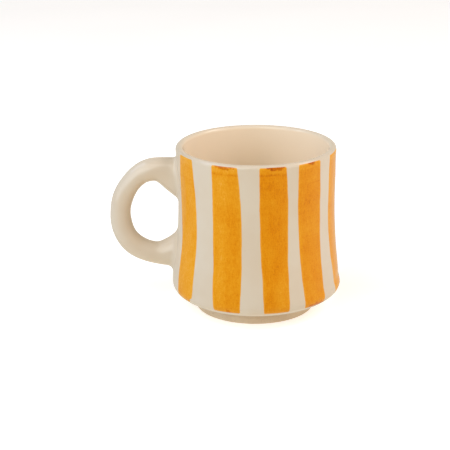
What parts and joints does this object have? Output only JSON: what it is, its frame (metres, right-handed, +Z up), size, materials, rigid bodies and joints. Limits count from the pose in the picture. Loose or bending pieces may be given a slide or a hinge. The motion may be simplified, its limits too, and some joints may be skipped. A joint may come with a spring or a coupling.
{
  "type": "ceramic mug",
  "caption": "Full-bellied ceramic mug with a round loop handle, a small foot ring and broad brushed vertical stripes.",
  "frame": {"origin": "on the cup's axis, in the plane of the foot ring's standing face", "axes": "+Z up along the cup's axis, -X towards the middle of the handle, +Y by the right-hand rule"},
  "size_m": [0.1226, 0.0898, 0.0892],
  "materials": {
    "cream_glaze": "gloss",
    "amber_stripe": "gloss",
    "bare_clay": "matte"
  },
  "bodies": {
    "root": {"cup": "cream_glaze", "foot_ring": "bare_clay", "handle": "cream_glaze", "upper_handle_joint": "cream_glaze", "lower_handle_joint": "cream_glaze", "stripe_01": "amber_stripe", "stripe_02": "amber_stripe", "stripe_03": "amber_stripe", "stripe_04": "amber_stripe", "stripe_05": "amber_stripe", "stripe_06": "amber_stripe", "stripe_07": "amber_stripe", "stripe_08": "amber_stripe", "stripe_09": "amber_stripe", "stripe_10": "amber_stripe"}
  },
  "joints": []
}
